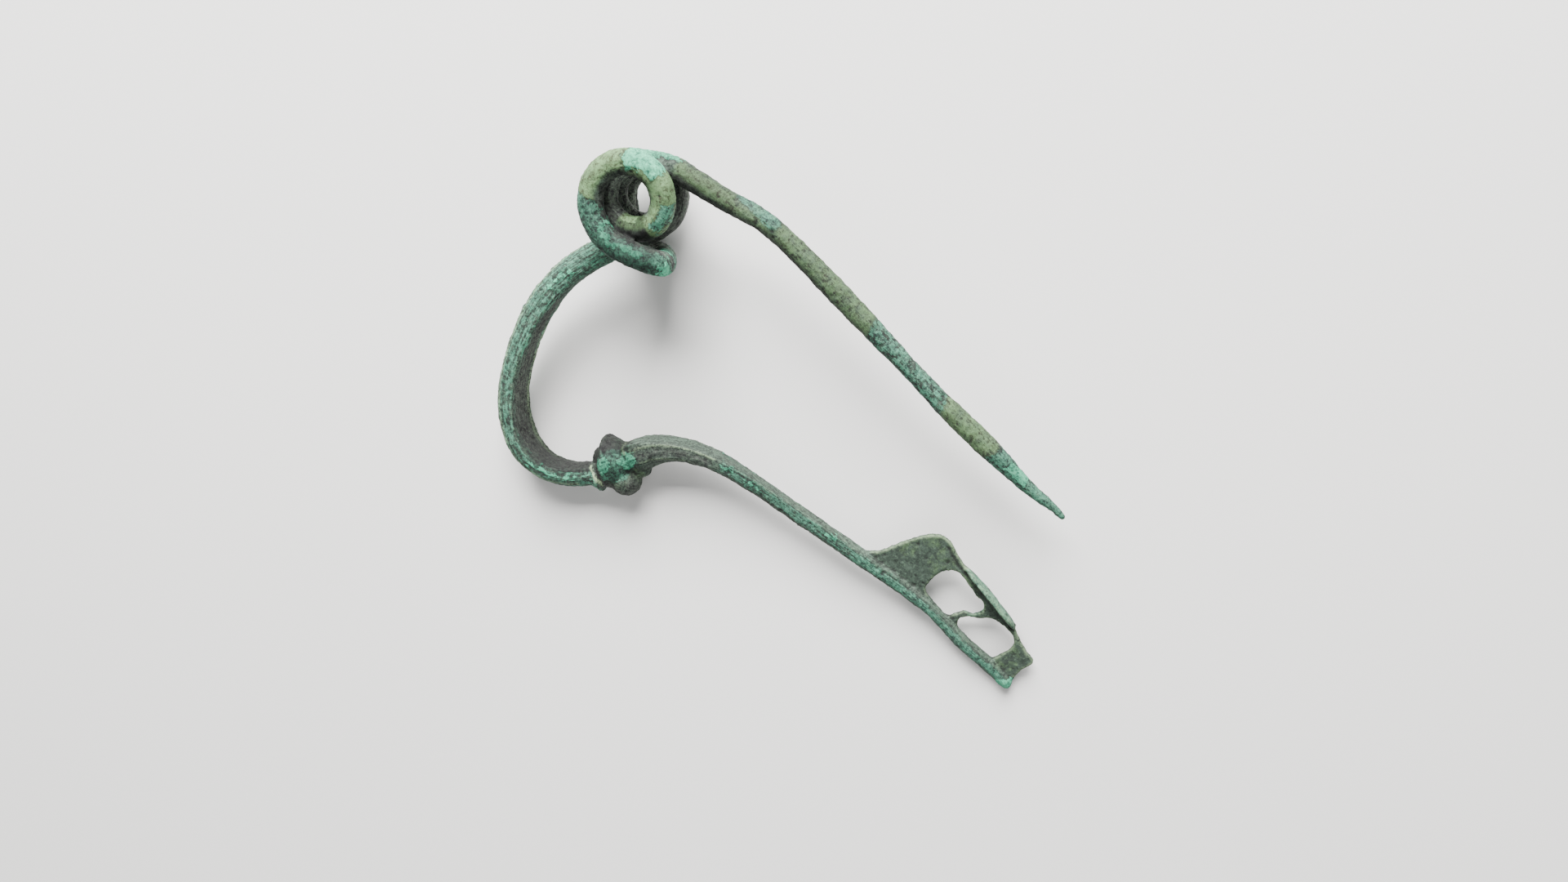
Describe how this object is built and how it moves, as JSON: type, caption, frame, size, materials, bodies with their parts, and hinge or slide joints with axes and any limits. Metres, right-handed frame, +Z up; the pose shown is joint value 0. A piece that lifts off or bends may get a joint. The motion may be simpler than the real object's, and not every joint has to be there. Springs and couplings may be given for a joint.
{
  "type": "fibula brooch",
  "caption": "Ancient bronze fibula brooch with a coiled spring, straight pin, arched bow, knob, faceted stem and a pierced catch plate with a folded gutter, under green patina.",
  "frame": {"origin": "bottom centre of the brooch's box as it lies loose on its far side", "axes": "+X from the spring to the foot end, +Y from the bow to the pin, +Z up out of the brooch's near face"},
  "size_m": [0.0814, 0.0536, 0.0163],
  "materials": {
    "green_bronze": "matte green and brown corrosion patina on cast and drawn bronze"
  },
  "bodies": {
    "root": {"fibula": "green_bronze"}
  },
  "joints": []
}
